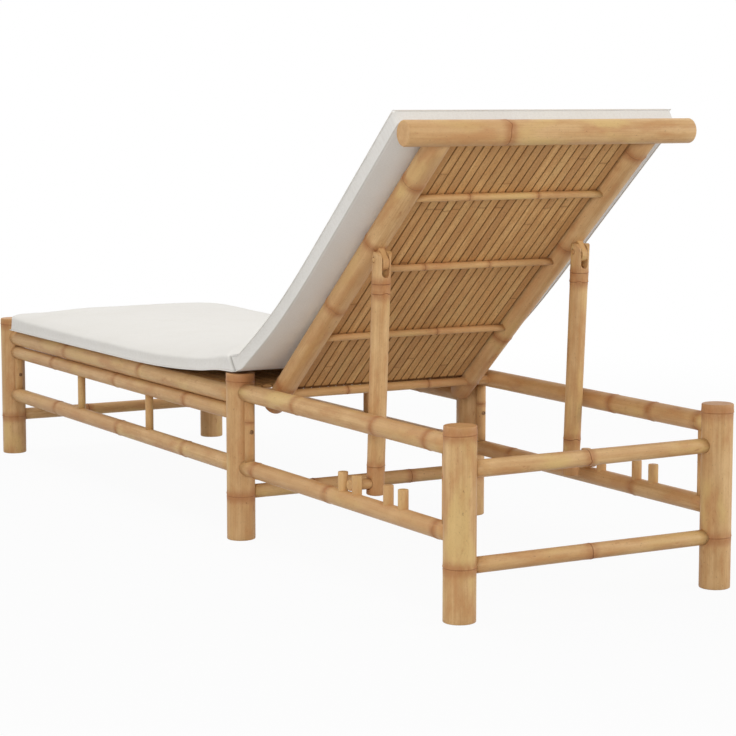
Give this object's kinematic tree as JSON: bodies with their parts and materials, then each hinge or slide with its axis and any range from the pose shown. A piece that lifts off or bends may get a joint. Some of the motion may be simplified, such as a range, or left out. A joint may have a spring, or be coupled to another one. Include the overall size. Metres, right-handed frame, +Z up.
{
  "type": "sun lounger",
  "caption": "Bamboo sun lounger with a slatted seat, a hinged slatted back held up by forked props that stand between pegs on the side rails, and a folded pad.",
  "frame": {"origin": "on the floor, midway between the foot posts and the head posts and midway between the two sides", "axes": "+X from the foot end to the head end, +Y to the right side of the lounger, +Z up"},
  "size_m": [2.001, 0.565, 0.7973],
  "materials": {
    "bamboo_pole": "dried bamboo culm with a satin skin, reddish rings and brown blotches",
    "split_bamboo": "split bamboo strip, matt, with long fibres",
    "bamboo_dowel": "thin peeled bamboo rod, satin",
    "cushion_fabric": "off-white woven cotton canvas over a soft filling"
  },
  "bodies": {
    "base": {"foot_post_left": "bamboo_pole", "middle_post_left": "bamboo_pole", "head_post_left": "bamboo_pole", "foot_top_rail_left": "bamboo_pole", "foot_second_rail_left": "bamboo_pole", "foot_lower_rail_left": "bamboo_pole", "head_upper_rail_left": "bamboo_pole", "head_lower_rail_left": "bamboo_pole", "stop_pegs_left": "bamboo_dowel", "rail_spacers_left": "bamboo_dowel", "foot_panel_struts_left": "bamboo_dowel", "head_panel_struts_left": "bamboo_dowel", "foot_post_right": "bamboo_pole", "middle_post_right": "bamboo_pole", "head_post_right": "bamboo_pole", "foot_top_rail_right": "bamboo_pole", "foot_second_rail_right": "bamboo_pole", "foot_lower_rail_right": "bamboo_pole", "head_upper_rail_right": "bamboo_pole", "head_lower_rail_right": "bamboo_pole", "stop_pegs_right": "bamboo_dowel", "rail_spacers_right": "bamboo_dowel", "foot_panel_struts_right": "bamboo_dowel", "head_panel_struts_right": "bamboo_dowel", "lower_cross_rail_foot": "bamboo_pole", "lower_cross_rail_middle": "bamboo_pole", "lower_cross_rail_head": "bamboo_pole", "upper_cross_rail_head": "bamboo_pole", "seat_bearers": "bamboo_dowel", "seat_slats": "split_bamboo", "seat_cushion": "cushion_fabric"},
    "backrest": {"hinge_rod": "bamboo_dowel", "back_stile_left": "bamboo_pole", "back_stile_right": "bamboo_pole", "head_rail": "bamboo_pole", "lower_back_bar": "bamboo_dowel", "middle_back_bar": "bamboo_dowel", "upper_back_bar": "bamboo_dowel", "back_slats": "split_bamboo", "prop_tongue_left": "split_bamboo", "prop_tongue_right": "split_bamboo", "back_cushion": "cushion_fabric"},
    "prop_left": {"prop_pole_left": "bamboo_pole", "prop_stub_left": "bamboo_dowel", "prop_pin_left": "bamboo_dowel"},
    "prop_right": {"prop_pole_right": "bamboo_pole", "prop_stub_right": "bamboo_dowel", "prop_pin_right": "bamboo_dowel"}
  },
  "joints": [
    {"name": "backrest_hinge", "type": "hinge", "parent": "base", "child": "backrest", "pos_m": [0.2855, 0, 0.2775], "axis": [0, -1, 0], "range_deg": [0, 15]},
    {"name": "prop_hinge_left", "type": "hinge", "parent": "backrest", "child": "prop_left", "pos_m": [0.64248, -0.203, 0.5478], "axis": [0, -1, 0], "range_deg": [-4.94, 0.5]},
    {"name": "prop_hinge_right", "type": "hinge", "parent": "backrest", "child": "prop_right", "pos_m": [0.64248, 0.203, 0.5478], "axis": [0, -1, 0], "range_deg": [-4.94, 0.5]}
  ],
  "couplings": [
    {"joint": "prop_hinge_left", "follows": "backrest_hinge", "ratio": -0.296},
    {"joint": "prop_hinge_right", "follows": "backrest_hinge", "ratio": -0.296}
  ]
}
